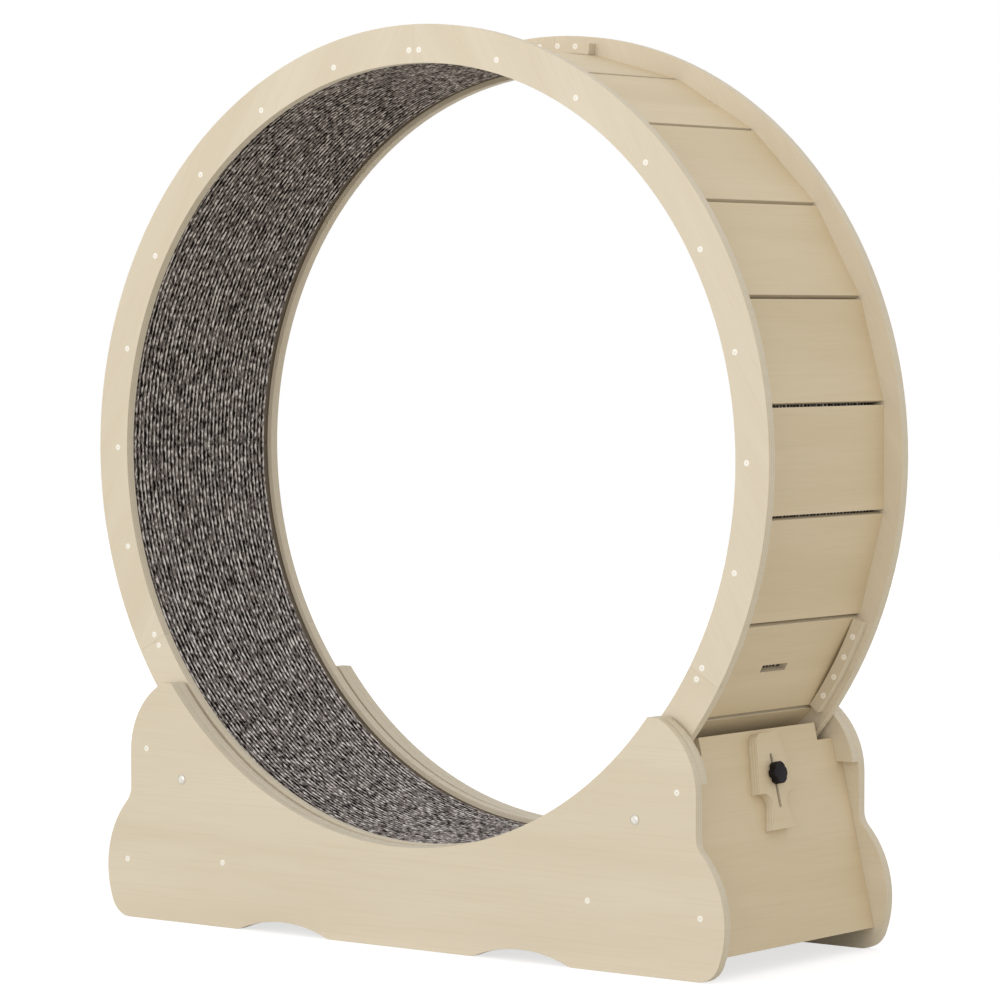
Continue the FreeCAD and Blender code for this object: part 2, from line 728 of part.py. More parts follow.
def makeKnob(label):
    """A scalloped knob with a blind hole for the bolt, built about its own axis."""
    body = newBody(label)
    sketch = newSketch(body, "XZ_Plane")
    top = "knobFoot + knobHeight"
    bore = "lockBoltRadius + axleGap"
    corners = [
        ("knobFoot + knobBore", "0"),
        (top, "0"),
        (top, "knobRadius - knobEdge"),
        (f"{top} - knobEdge", "knobRadius"),
        ("knobFoot", "knobRadius"),
        ("knobFoot", bore),
        ("knobFoot + knobBore", bore),
    ]
    outline(sketch, corners)
    revolve(body, sketch, "H_Axis")
    scallop = newSketch(body, "YZ_Plane")
    circle(scallop, "0", "knobScallopDistance", "knobScallopRadius")
    polar(body, cut(body, scallop), "X_Axis", "knobLobes")
    lean = Vector(0, -1, 0)
    place(
        body,
        x="endReach - lockBoltHeight * sin(endTilt)",
        z="endBottomHeight + lockBoltHeight * cos(endTilt)",
        turn=lean,
        angle="endTilt",
    )


SEGMENT_SIDES = ("right", "bottom", "left")
SEAM_SIDES = ("top", "right", "left")
for end, ringFace, spliceFace in (
    ("front", "-ringBack", "-spliceBack"),
    ("back", "drumWidth / 2", "ringBack"),
):
    for k, side in enumerate(SEGMENT_SIDES):
        makeRingSegment(f"{end}_ring_{side}", ringFace, f"360 / ringSegments * {k + 0.5}")
    for k, side in enumerate(SEAM_SIDES):
        makeSplicePlate(f"{end}_splice_plate_{side}", spliceFace, f"360 / ringSegments * {k}")

# Slats are numbered from the top towards the right. The slotted one lies across the right seam.
LOCK_SLAT = 9
for k in range(round(number("slatCount"))):
    makeSlat(f"slat_{k + 1:02d}", f"360 / slatCount * {k}", slotted=k + 1 == LOCK_SLAT)
makeCarpet("carpet_lining")

makeSidePanel("front_side_panel", "-panelFace")
makeSidePanel("back_side_panel", "panelOutside")
makeLiner("front_liner", "-linerFace")
makeLiner("back_liner", "panelFace")
makeEndPanel("right_end_panel", 1, bolted=True)
makeEndPanel("left_end_panel", -1, bolted=False)
makeCrossRail("right_cross_rail", 1)
makeCrossRail("left_cross_rail", -1)

for end, ySide in (("front", -1), ("back", 1)):
    for side, xSide in (("left", -1), ("right", 1)):
        makeRoller(f"{end}_{side}_roller", xSide, ySide)
        makeBearings(f"{end}_{side}_bearings", xSide, ySide)
makeAxles("roller_axles")
makeSpacers("roller_spacers")
makeNuts("roller_nuts")

makeLockSlider("lock_slider")
makeLockBolt("lock_bolt")
makeLockWasher("lock_washer")
makeKnob("lock_knob")

doc.recompute()
faulty = [o.Name for o in doc.Objects if {"Invalid", "Error"} & set(o.State)]
if faulty:
    raise RuntimeError(f"these objects failed: {faulty}")

PIECE_TYPES = ("PartDesign::Body", "Part::Box", "Part::Cut")
parts = [o for o in doc.Objects if o.TypeId in PIECE_TYPES]
os.makedirs("parts", exist_ok=True)
for part in parts:
    if part.Shape.isNull() or not part.Shape.isValid():
        raise RuntimeError(f"{part.Label} has no valid shape")
for part in parts:
    part.Shape.exportStep(f"parts/{part.Label}.step")
print(f"{len(parts)} nodes")
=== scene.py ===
import bmesh
import bpy
import json
import math
import random
from mathutils import Matrix, Vector


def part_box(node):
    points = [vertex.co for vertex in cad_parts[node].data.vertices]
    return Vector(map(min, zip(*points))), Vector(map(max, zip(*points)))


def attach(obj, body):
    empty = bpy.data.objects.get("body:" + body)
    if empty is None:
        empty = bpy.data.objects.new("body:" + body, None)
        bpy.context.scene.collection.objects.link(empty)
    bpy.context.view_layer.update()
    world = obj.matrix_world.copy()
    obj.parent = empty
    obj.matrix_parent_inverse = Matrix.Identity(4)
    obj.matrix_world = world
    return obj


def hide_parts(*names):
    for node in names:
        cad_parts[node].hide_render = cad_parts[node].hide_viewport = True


# An exercise wheel: a plywood drum lined with ribbed carpet, on rollers in a plywood base.
# Metres, X to the right, Y to the back, Z up. The drum turns about Y.

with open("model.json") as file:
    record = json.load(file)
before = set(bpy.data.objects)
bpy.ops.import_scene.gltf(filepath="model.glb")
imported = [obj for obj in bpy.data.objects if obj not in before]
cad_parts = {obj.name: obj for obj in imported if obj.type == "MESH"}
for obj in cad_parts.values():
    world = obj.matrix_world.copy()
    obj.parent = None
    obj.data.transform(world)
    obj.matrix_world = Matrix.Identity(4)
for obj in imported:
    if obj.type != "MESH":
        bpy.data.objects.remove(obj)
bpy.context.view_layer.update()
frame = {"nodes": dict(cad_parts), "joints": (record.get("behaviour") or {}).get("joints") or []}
nodes = frame["nodes"]
mm = 0.001
random.seed(24)

# places taken from the frame
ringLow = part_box("front_ring_bottom")[0]
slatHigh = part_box("slat_01")[1]
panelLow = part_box("front_side_panel")[0]
spliceLow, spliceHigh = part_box("front_splice_plate_top")
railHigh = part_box("right_cross_rail")[1]
carpetLow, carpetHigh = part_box("carpet_lining")
carpetOuter = (carpetHigh.z - carpetLow.z) / 2
drumAxis = Vector((0, 0, (carpetLow.z + carpetHigh.z) / 2))
slideWay = next(Vector(j["axis"]) for j in frame["joints"] if j["name"] == "lock_slide")
endLean = math.atan2(-slideWay.x, slideWay.z)
print("frame loaded:", len(nodes), "nodes, drum axis at", round(drumAxis.z, 4))


def linear(hexColour):
    channels = [int(hexColour[i:i + 2], 16) / 255 for i in (1, 3, 5)]
    return [c / 12.92 if c <= 0.04045 else ((c + 0.055) / 1.055) ** 2.4 for c in channels] + [1]


def addNode(tree, kind, inputs=None, **settings):
    # an input is a plain value, a socket, or a node whose first output is taken
    node = tree.nodes.new(kind)
    for name, value in settings.items():
        setattr(node, name, value)
    for key, value in (inputs or {}).items():
        if isinstance(value, bpy.types.Node):
            value = value.outputs[0]
        if isinstance(value, bpy.types.NodeSocket):
            tree.links.new(value, node.inputs[key])
        else:
            node.inputs[key].default_value = value
    return node


def newMaterial(name):
    material = bpy.data.materials.new(name)
    material.use_nodes = True
    material.node_tree.nodes.clear()
    return material, material.node_tree


def finishMaterial(tree, inputs):
    shader = addNode(tree, "ShaderNodeBsdfPrincipled", inputs)
    addNode(tree, "ShaderNodeOutputMaterial", {"Surface": shader})


def newPiece(name, mesh, material, body):
    piece = bpy.data.objects.new(name, mesh)
    bpy.context.scene.collection.objects.link(piece)
    mesh.materials.append(material)
    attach(piece, body)
    return piece


# Birch-faced plywood under clear matt lacquer, cut by a router. It gives the eye a pale cream
# face, nearly plain, with faint long streaks, and edges where thin plies show as soft lines.
plywoodLook = {
    "faces": {                   # light and dark of the veneer; the second pair is a yellower copy, painted warm shade
        "pale": ("#E1D5BF", "#D9CCB4"),
        # painted warm shade: a yellower copy of the pale veneer, for the boards that face sideways
        "shadeWarmed": ("#E1CFAE", "#D9C6A2"),
    },
    "figureWidth": 70 * mm,      # broad tone bands across the grain
    "figureLength": 600 * mm,
    "figureFrom": 0.3,           # the noise takes the tone from light to dark between these
    "figureTo": 0.7,
    "streak": "#CCBC9A",
    "streakWidth": 2.6 * mm,     # pores, drawn about twice as wide as real so that they show
    "streakLength": 110 * mm,
    "streakFrom": 0.5,
    "streakTo": 0.8,
    "streakShows": 0.35,         # how much of the streaks' colour shows, from 0 to 1
    "edgeLight": "#E4D8C1",
    "edgeDark": "#D0C3A8",
    "plyThickness": 1.7 * mm,
    "plyBlur": 0.8,              # how far the streaks move the lines between plies, in plies
    "plyFrom": 0.3,
    "plyTo": 1.5,
    "edgeUpTo": 0.55,            # how squarely a surface faces outwards, from edge to face
    "faceFrom": 0.85,
    "boardSpread": 17.0,         # the base's boards are numbered at random from 0 to this
    "boardStep": 3.7,            # the noise is shifted by this for each number
    "smooth": 0.45,
    "rough": 0.58,
    "relief": 0.1,
    "reliefHeight": 0.12 * mm,
}


def plywood(name, faces, grain, across, depth, face, sectors=0, firstSector=0.0, lean=0.0):
    # grain, across and depth are X, Y or Z of the board's own frame. That is the object's frame,
    # leaned about Y, or for the drum's pieces turned about the drum so that Z is radial in the
    # middle of each sector. sectors is how many boards go round the drum, and firstSector how far
    # the first one's middle is from the top, in sectors. face is where the board's outer face
    # stands along its depth.
    look = plywoodLook
    faceLight, faceDark = (linear(colour) for colour in look["faces"][faces])
    material, tree = newMaterial(name)
    where = addNode(tree, "ShaderNodeTexCoord")
    if sectors:
        step = 2 * math.pi / sectors
        fromAxis = addNode(tree, "ShaderNodeVectorMath", {0: where.outputs["Object"], 1: drumAxis},
                           operation="SUBTRACT")
        flat = addNode(tree, "ShaderNodeSeparateXYZ", {0: fromAxis})
        angle = addNode(tree, "ShaderNodeMath", {0: flat.outputs["X"], 1: flat.outputs["Z"]},
                        operation="ARCTAN2")
        turns = addNode(tree, "ShaderNodeMath", {0: angle, 1: 1 / step, 2: -firstSector},
                        operation="MULTIPLY_ADD")
        board = addNode(tree, "ShaderNodeMath", {0: turns}, operation="ROUND")
        middle = addNode(tree, "ShaderNodeMath", {0: board, 1: firstSector}, operation="ADD")
        turn = addNode(tree, "ShaderNodeMath", {0: middle, 1: -step}, operation="MULTIPLY")
        start = fromAxis
    else:
        info = addNode(tree, "ShaderNodeObjectInfo")
        board = addNode(tree, "ShaderNodeMath",
                        {0: info.outputs["Random"], 1: look["boardSpread"]},
                        operation="MULTIPLY")
        turn = lean
        start = where.outputs["Object"]
    place = addNode(tree, "ShaderNodeSeparateXYZ", {
        0: addNode(tree, "ShaderNodeVectorRotate", {"Vector": start, "Angle": turn},
                   rotation_type="Y_AXIS")})
    normal = addNode(tree, "ShaderNodeSeparateXYZ", {
        0: addNode(tree, "ShaderNodeVectorRotate",
                   {"Vector": where.outputs["Normal"], "Angle": turn}, rotation_type="Y_AXIS")})
    shift = addNode(tree, "ShaderNodeMath", {0: board, 1: look["boardStep"]},
                    operation="MULTIPLY")

    def drawnOut(length, width, **noise):
        # noise stretched along the grain, different on each board
        along = addNode(tree, "ShaderNodeMath", {0: place.outputs[grain], 1: 1 / length, 2: shift},
                        operation="MULTIPLY_ADD")
        sideways = addNode(tree, "ShaderNodeMath", {0: place.outputs[across], 1: 1 / width},
                           operation="MULTIPLY")
        spot = addNode(tree, "ShaderNodeCombineXYZ", {0: along, 1: sideways, 2: shift})
        return addNode(tree, "ShaderNodeTexNoise", {"Vector": spot, "Scale": 1.0, **noise})

    figure = drawnOut(look["figureLength"], look["figureWidth"], Detail=3.0, Distortion=0.6)
    streak = drawnOut(look["streakLength"], look["streakWidth"], Detail=4.0, Roughness=0.62)
    tone = addNode(tree, "ShaderNodeMapRange",
                   {"Value": figure, 1: look["figureFrom"], 2: look["figureTo"]})
    plain = addNode(tree, "ShaderNodeMix", {"Factor": tone, 6: faceLight, 7: faceDark},
                    data_type="RGBA")
    pores = addNode(tree, "ShaderNodeMapRange", {"Value": streak, 1: look["streakFrom"],
                                                 2: look["streakTo"], 4: look["streakShows"]})
    grained = addNode(tree, "ShaderNodeMix", {"Factor": pores, 6: plain.outputs[2],
                                              7: linear(look["streak"])}, data_type="RGBA")

    # plies, counted from the outer face
    deep = addNode(tree, "ShaderNodeMath", {0: place.outputs[depth]}, operation="ABSOLUTE")
    inside = addNode(tree, "ShaderNodeMath", {0: deep, 1: face}, operation="SUBTRACT")
    layer = addNode(tree, "ShaderNodeMath", {0: inside, 1: 1 / look["plyThickness"]},
                    operation="MULTIPLY")
    wave = addNode(tree, "ShaderNodeMath", {0: layer, 1: 1.0}, operation="PINGPONG")
    blurred = addNode(tree, "ShaderNodeMath", {0: streak, 1: look["plyBlur"], 2: wave},
                      operation="MULTIPLY_ADD")
    line = addNode(tree, "ShaderNodeMapRange",
                   {"Value": blurred, 1: look["plyFrom"], 2: look["plyTo"]})
    edge = addNode(tree, "ShaderNodeMix", {"Factor": line, 6: linear(look["edgeLight"]),
                                           7: linear(look["edgeDark"])}, data_type="RGBA")
    facing = addNode(tree, "ShaderNodeMath", {0: normal.outputs[depth]}, operation="ABSOLUTE")
    onFace = addNode(tree, "ShaderNodeMapRange",
                     {"Value": facing, 1: look["edgeUpTo"], 2: look["faceFrom"]})
    colour = addNode(tree, "ShaderNodeMix", {"Factor": onFace, 6: edge.outputs[2],
                                             7: grained.outputs[2]}, data_type="RGBA")
    rough = addNode(tree, "ShaderNodeMapRange",
                    {"Value": streak, 3: look["smooth"], 4: look["rough"]})
    bump = addNode(tree, "ShaderNodeBump", {"Height": streak, "Strength": look["relief"],
                                            "Distance": look["reliefHeight"]})
    finishMaterial(tree, {"Base Color": colour.outputs[2], "Roughness": rough, "Normal": bump})
    return material


def leanedFace(node, lean):
    # how far out the outer face of a leaning board stands, square to it
    turned = Matrix.Rotation(lean, 3, "Y")
    return max(abs((turned @ v.co).x) for v in nodes[node].data.vertices)


# the slats, rails and end panels face sideways and take the yellower copy of the veneer, painted
# warm shade
plywoods = {
    "ring": plywood("birchPlywoodRing", "pale", "X", "Z", "Y", -ringLow.y, sectors=3,
                    firstSector=0.5),
    "splice": plywood("birchPlywoodSplice", "pale", "X", "Z", "Y", -spliceLow.y, sectors=3),
    "slat": plywood("birchPlywoodSlat", "shadeWarmed", "Y", "X", "Z", slatHigh.z - drumAxis.z,
                    sectors=24),
    "panel": plywood("birchPlywoodPanel", "pale", "X", "Z", "Y", -panelLow.y),
    "rail": plywood("birchPlywoodRail", "shadeWarmed", "Y", "Z", "X", railHigh.x),
    "rightEnd": plywood("birchPlywoodRightEnd", "shadeWarmed", "Y", "Z", "X",
                        leanedFace("right_end_panel", endLean), lean=endLean),
    "leftEnd": plywood("birchPlywoodLeftEnd", "shadeWarmed", "Y", "Z", "X",
                       leanedFace("left_end_panel", -endLean), lean=-endLean),
}
print("plywood made")


def mottled(name, look):
    # a finish whose colour follows one fine noise, as its roughness and relief do if it has them
    material, tree = newMaterial(name)
    where = addNode(tree, "ShaderNodeTexCoord")
    noise = addNode(tree, "ShaderNodeTexNoise", {"Vector": where.outputs["Object"],
                                                 "Scale": 1 / look["grain"],
                                                 "Detail": look["detail"]})
    colour = addNode(tree, "ShaderNodeMix", {"Factor": noise, 6: linear(look["dark"]),
                                             7: linear(look["light"])}, data_type="RGBA")
    finish = {"Base Color": colour.outputs[2], **look["finish"]}
    if "smooth" in look:
        finish["Roughness"] = addNode(tree, "ShaderNodeMapRange",
                                      {"Value": noise, 3: look["smooth"], 4: look["rough"]})
    if "relief" in look:
        finish["Normal"] = addNode(tree, "ShaderNodeBump",
                                   {"Height": noise, "Strength": look["relief"],
                                    "Distance": look["reliefHeight"]})
    finishMaterial(tree, finish)
    return material


# Zinc-plated steel, tumbled bright. It gives the eye a light warm grey with soft highlights.
zincSteel = mottled("zincPlatedSteel", {
    "dark": "#C9C5BC",
    "light": "#DEDAD0",
    "grain": 3 * mm,
    "detail": 3.0,
    "smooth": 0.26,
    "rough": 0.4,
    "finish": {"Metallic": 1.0},
})

# Screw heads, near-white with a soft gloss. The near-white is partly a painted glint: it keeps
# them small pale dots even in shade, as bright metal heads are.
paleGlintHeads = mottled("paleGlintHeads", {
    "dark": "#F8F3E7",
    "light": "#FDFAF2",
    "grain": 2 * mm,
    "detail": 2.0,
    "smooth": 0.24,
    "rough": 0.34,
    "finish": {},
})

# Nylon 6, injection moulded. It gives the eye a matt, slightly milky light grey.
greyNylon = mottled("mouldedNylon", {
    "dark": "#BDBCB8",
    "light": "#CFCECA",
    "grain": 0.8 * mm,
    "detail": 2.0,
    "relief": 0.2,
    "reliefHeight": 0.05 * mm,
    "finish": {"Roughness": 0.42},
})

# Glass-filled nylon, moulded black with a spark-eroded grain. It gives the eye a dull near-black
# with a broad, faint sheen on its rounded lobes.
blackNylon = mottled("mouldedBlackNylon", {
    "dark": "#0E0B0B",
    "light": "#181313",
    "grain": 0.6 * mm,
    "detail": 2.0,
    "relief": 0.35,
    "reliefHeight": 0.08 * mm,
    "finish": {"Roughness": 0.6, "Specular IOR Level": 0.2},
})

# How far sharp edges are eased, by kind of piece, once the facets of each face are joined.
easedEdges = {
    "board": 0.35 * mm,
    "nylon": 0.4 * mm,
    "metal": 0.15 * mm,
    "knob": 0.6 * mm,
    "joinWithin": 0.004 * mm,    # points this close become one
    "flatWithin": 0.2,           # degrees between the facets of one face
    "sharpFrom": 28,             # degrees from which an edge is sharp
    "segments": 2,
}

# What a node's name holds, its material and its kind of edge. The first match counts.
finishes = (
    ("_ring_", plywoods["ring"], "board"),
    ("splice", plywoods["splice"], "board"),
    ("slat_", plywoods["slat"], "board"),
    ("side_panel", plywoods["panel"], "board"),
    ("liner", plywoods["panel"], "board"),
    ("right_end_panel", plywoods["rightEnd"], "board"),
    ("lock_slider", plywoods["rightEnd"], "board"),
    ("left_end_panel", plywoods["leftEnd"], "board"),
    ("cross_rail", plywoods["rail"], "board"),
    ("lock_knob", blackNylon, "knob"),
    ("_roller", greyNylon, "nylon"),
    ("", zincSteel, "metal"),
)


def dress(node, material, easing):
    node.data.materials.clear()
    node.data.materials.append(material)
    weld = node.modifiers.new("joinFaces", "WELD")
    weld.merge_threshold = easedEdges["joinWithin"]
    flat = node.modifiers.new("wholeFaces", "DECIMATE")
    flat.decimate_type = "DISSOLVE"
    flat.angle_limit = math.radians(easedEdges["flatWithin"])
    bevel = node.modifiers.new("easedEdge", "BEVEL")
    bevel.width = easing
    bevel.segments = easedEdges["segments"]
    bevel.limit_method = "ANGLE"
    bevel.angle_limit = math.radians(easedEdges["sharpFrom"])
    bevel.harden_normals = True


def dressNodes():
    for name, node in nodes.items():
        if name == "carpet_lining":    # the ribbed carpet takes its place
            continue
        material, kind = next((m, k) for part, m, k in finishes if part in name)
        dress(node, material, easedEdges[kind])
    print("frame nodes dressed")


dressNodes()


# Loop-pile carpet, woven from heather yarn and bonded to the slats. Rows of loops run round the
# drum, so it gives the eye a grey-brown ground with thin pale dashes and near-black ones along the
# rows. The pale ones are partly a painted highlight on each row's crest. Painted shade lies on the
# rows' flanks, and near-black painted shade lies in the furrows between them. It has a plain brown
# bound edge, which the rings keep in shade.
carpetLook = {
    "black": "#0F0C0B",
    "ground": "#877E7A",
    "pale": "#F6F0EB",
    # near-black painted shade for the furrows between rows
    "furrowShade": "#1D1917",
    "binding": "#867B6E",
    "ribs": 36,
    "pointsInRib": 6,
    "steps": 480,              # round the drum
    "ribHeight": 2.2 * mm,
    "ribFullness": 0.6,        # 1 is a sine arch, and less has fuller shoulders
    "border": 6.0 * mm,        # the bound edge, on each side
    "borderSink": 0.8 * mm,    # below the tops of the rows
    "jointGap": 0.4 * mm,
    "jointAt": -90,            # degrees from the top, so level with the axis on the left
    "dashLength": 7 * mm,
    "dashWidth": 3.2 * mm,     # a strand of yarn, drawn about twice as wide so that it shows
    "rowStep": 7.31,           # the noise is shifted by this from one row to the next
    "blackUpTo": 0.36,         # tones of the noise at which the yarn is black, ground and pale
    "groundFrom": 0.46,
    "groundUpTo": 0.54,
    "paleFrom": 0.68,
    "crestLift": 0.12,         # added to the tone everywhere
    "flankShade": 0.62,         # taken from the tone for each row's width away from its crest: painted shade on the flanks
    "furrowFrom": 0.3,         # where the furrow's painted shade starts and is full, in rows from the crest
    "furrowFull": 0.48,
    "furrowShadeShows": 0.8,        # how much of the furrows' painted shade shows, from 0 to 1
    "wander": 0.12,            # how far a row strays sideways, in rows
    "wanderLength": 18 * mm,
    "relief": 0.6,
    "reliefHeight": 1.2 * mm,
    "roughness": 0.95,
    "specular": 0.15,
}


def loopPileCarpet(ribWidth):
    look = carpetLook
    material, tree = newMaterial("loopPileCarpet")
    where = addNode(tree, "ShaderNodeTexCoord")
    fromAxis = addNode(tree, "ShaderNodeVectorMath", {0: where.outputs["Object"], 1: drumAxis},
                       operation="SUBTRACT")
    flat = addNode(tree, "ShaderNodeSeparateXYZ", {0: fromAxis})
    angle = addNode(tree, "ShaderNodeMath", {0: flat.outputs["X"], 1: flat.outputs["Z"]},
                    operation="ARCTAN2")
    straying = addNode(tree, "ShaderNodeTexNoise",
                       {"Vector": fromAxis, "Scale": 1 / look["wanderLength"]})
    stray = addNode(tree, "ShaderNodeMath", {0: straying, 1: look["wander"],
                                             2: look["ribs"] / 2 - look["wander"] / 2},
                    operation="MULTIPLY_ADD")
    row = addNode(tree, "ShaderNodeMath", {0: flat.outputs["Y"], 1: 1 / ribWidth, 2: stray},
                  operation="MULTIPLY_ADD")
    rowNumber = addNode(tree, "ShaderNodeMath", {0: row}, operation="FLOOR")

    # yarn dashes: noise drawn out along the rows, and different in each row
    along = addNode(tree, "ShaderNodeMath", {0: angle, 1: carpetOuter / look["dashLength"]},
                    operation="MULTIPLY")
    sideways = addNode(tree, "ShaderNodeMath", {0: flat.outputs["Y"], 1: 1 / look["dashWidth"]},
                       operation="MULTIPLY")
    apart = addNode(tree, "ShaderNodeMath", {0: rowNumber, 1: look["rowStep"]},
                    operation="MULTIPLY")
    spot = addNode(tree, "ShaderNodeCombineXYZ", {0: along, 1: sideways, 2: apart})
    dashes = addNode(tree, "ShaderNodeTexNoise",
                     {"Vector": spot, "Scale": 1.0, "Detail": 1.5, "Roughness": 0.6})

    # how far from a row's crest, 0 there and 0.5 in the furrow between two rows
    part = addNode(tree, "ShaderNodeMath", {0: row}, operation="FRACT")
    off = addNode(tree, "ShaderNodeMath", {0: part, 1: 0.5}, operation="SUBTRACT")
    away = addNode(tree, "ShaderNodeMath", {0: off}, operation="ABSOLUTE")
    # the tone falls away from each crest: painted shade on the rows' flanks, leaving a painted
    # highlight on the crests
    lifted = addNode(tree, "ShaderNodeMath", {0: dashes, 1: look["crestLift"]}, operation="ADD")
    tone = addNode(tree, "ShaderNodeMath", {0: away, 1: -look["flankShade"], 2: lifted},
                   operation="MULTIPLY_ADD")
    ramp = addNode(tree, "ShaderNodeValToRGB", {"Fac": tone})
    stops = ramp.color_ramp.elements
    stops[0].position, stops[0].color = look["blackUpTo"], linear(look["black"])
    stops[1].position, stops[1].color = look["paleFrom"], linear(look["pale"])
    stops.new(look["groundFrom"]).color = linear(look["ground"])
    stops.new(look["groundUpTo"]).color = linear(look["ground"])
    # painted shade in the furrows between rows
    furrowShade = addNode(tree, "ShaderNodeMapRange",
                     {"Value": away, 1: look["furrowFrom"], 2: look["furrowFull"],
                      4: look["furrowShadeShows"]}, interpolation_type="SMOOTHSTEP")
    pile = addNode(tree, "ShaderNodeMix", {"Factor": furrowShade, 6: ramp.outputs["Color"],
                                           7: linear(look["furrowShade"])}, data_type="RGBA")
    fromMiddle = addNode(tree, "ShaderNodeMath", {0: flat.outputs["Y"]}, operation="ABSOLUTE")
    bound = addNode(tree, "ShaderNodeMath", {0: fromMiddle, 1: ribWidth * look["ribs"] / 2},
                    operation="GREATER_THAN")
    colour = addNode(tree, "ShaderNodeMix", {"Factor": bound, 6: pile.outputs[2],
                                             7: linear(look["binding"])}, data_type="RGBA")
    height = addNode(tree, "ShaderNodeMath", {0: dashes, 1: furrowShade}, operation="SUBTRACT")
    bump = addNode(tree, "ShaderNodeBump", {"Height": height, "Strength": look["relief"],
                                            "Distance": look["reliefHeight"]})
    finishMaterial(tree, {"Base Color": colour.outputs[2], "Roughness": look["roughness"],
                          "Normal": bump, "Specular IOR Level": look["specular"]})
    return material


def carpetSection(inner, ribWidth):
    # Y and radius: bound edge, ribs, bound edge, then the two corners at the slats
    look = carpetLook
    edge = inner + look["borderSink"]
    firstRib = carpetLow.y + look["border"]
    section = [(carpetLow.y, edge)]
    for i in range(look["ribs"] * look["pointsInRib"] + 1):
        share = (i % look["pointsInRib"]) / look["pointsInRib"]
        roundness = math.sin(math.pi * share) ** look["ribFullness"] if share else 0
        section.append((firstRib + ribWidth * i / look["pointsInRib"],
                        inner + look["ribHeight"] * (1 - roundness)))
    return section + [(carpetHigh.y, edge), (carpetHigh.y, carpetOuter),
                      (carpetLow.y, carpetOuter)]


def makeCarpet():
    look = carpetLook
    cadCarpet = nodes["carpet_lining"].data.vertices
    inner = min((v.co - drumAxis).xz.length for v in cadCarpet)
    ribWidth = (carpetHigh.y - carpetLow.y - 2 * look["border"]) / look["ribs"]
    section = carpetSection(inner, ribWidth)
    count, steps = len(section), look["steps"]
    gap = look["jointGap"] / carpetOuter
    start, sweep = math.radians(look["jointAt"]) + gap / 2, 2 * math.pi - gap
    vertices, faces = [], []
    for s in range(steps + 1):
        angle = start + sweep * s / steps
        vertices += [(radius * math.sin(angle), y, drumAxis.z + radius * math.cos(angle))
                     for y, radius in section]
    for s in range(steps):
        for i in range(count):
            a, b = s * count + i, s * count + (i + 1) % count
            faces.append((a, b, b + count, a + count))
    faces += [tuple(range(count)), tuple(range(steps * count, (steps + 1) * count))]
    mesh = bpy.data.meshes.new("ribbedCarpet")
    mesh.from_pydata(vertices, [], faces)
    shape = bmesh.new()
    shape.from_mesh(mesh)
    bmesh.ops.recalc_face_normals(shape, faces=shape.faces)
    shape.to_mesh(mesh)
    shape.free()
    for polygon in mesh.polygons:
        polygon.use_smooth = len(polygon.vertices) == 4
    carpet = newPiece("ribbedCarpet", mesh, loopPileCarpet(ribWidth), "drum")
    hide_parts("carpet_lining")
    print("carpet made, rows", round(ribWidth / mm, 2), "mm apart")


makeCarpet()


# Countersunk wood screws with a cross recess, set nearly flush. They read as small pale dots,
# their near-white partly a painted glint.
screwLook = {
    "headRadius": 3.6 * mm,
    "crown": 0.35 * mm,          # above the board
    "headProfile": ((1, 0), (0.93, 0.7), (0.72, 1)),    # shares of head radius and crown
    "coneDepth": 2.6 * mm,       # in the board
    "recessDepth": 0.6 * mm,
    "recessLong": 1.5 * mm,
    "recessWide": 0.3 * mm,
    "recessFloor": 0.6,          # its size as a share of the mouth's
    "around": 24,                # points round the head
    "ringRadius": 470 * mm,      # from the drum's axis
    "ringStep": 15,              # degrees
    "seams": (0, 120, 240),      # degrees from the top, as all angles on the drum
    "seamPair": 0.9,             # degrees to each side of a seam
    "spliceRadius": 487 * mm,
    "spliceSpots": (-4.75, -1.6, 1.6, 4.75),    # degrees from a seam
    "panelSpots": ((397.5 * mm, 208.4 * mm), (429.4 * mm, 70.9 * mm), (274 * mm, 78 * mm)),
}


def addScrew(shape, place, outward):
    look = screwLook
    around = look["around"]
    facing = outward.to_track_quat("Z", "Y").to_matrix().to_4x4()
    spin = Matrix.Rotation(random.uniform(0, math.pi), 4, "Z")
    pose = Matrix.Translation(place) @ facing @ spin

    def corner(x, y, z):
        return shape.verts.new(pose @ Vector((x, y, z)))

    rings = []
    for share, rise in look["headProfile"]:
        radius = look["headRadius"] * share
        rings.append([corner(radius * math.cos(2 * math.pi * k / around),
                             radius * math.sin(2 * math.pi * k / around), look["crown"] * rise)
                      for k in range(around)])
    for lower, upper in zip(rings, rings[1:]):
        for k in range(around):
            j = (k + 1) % around
            shape.faces.new((lower[k], lower[j], upper[j], upper[k]))
    # the corners of the cross, each joined to the nearest point of the inner ring
    long, wide, shrink = look["recessLong"], look["recessWide"], look["recessFloor"]
    cross = []
    for quarter in range(4):
        c, s = math.cos(quarter * math.pi / 2), math.sin(quarter * math.pi / 2)
        cross += [(x * c - y * s, x * s + y * c)
                  for x, y in ((wide, -wide), (long, -wide), (long, wide))]
    mouth = [corner(x, y, look["crown"]) for x, y in cross]
    floor = [corner(x * shrink, y * shrink, look["crown"] - look["recessDepth"])
             for x, y in cross]
    nearest = [round(math.atan2(y, x) / (2 * math.pi) * around) % around for x, y in cross]
    for k in range(len(cross)):
        j = (k + 1) % len(cross)
        shape.faces.new((mouth[k], mouth[j], floor[j], floor[k]))
        reach = range((nearest[j] - nearest[k]) % around + 1)
        rim = [rings[-1][(nearest[k] + i) % around] for i in reach]
        shape.faces.new((mouth[k], *rim, mouth[j]))
    shape.faces.new(floor)
    tip = corner(0, 0, -look["coneDepth"])
    for k in range(around):
        shape.faces.new((rings[0][(k + 1) % around], rings[0][k], tip))


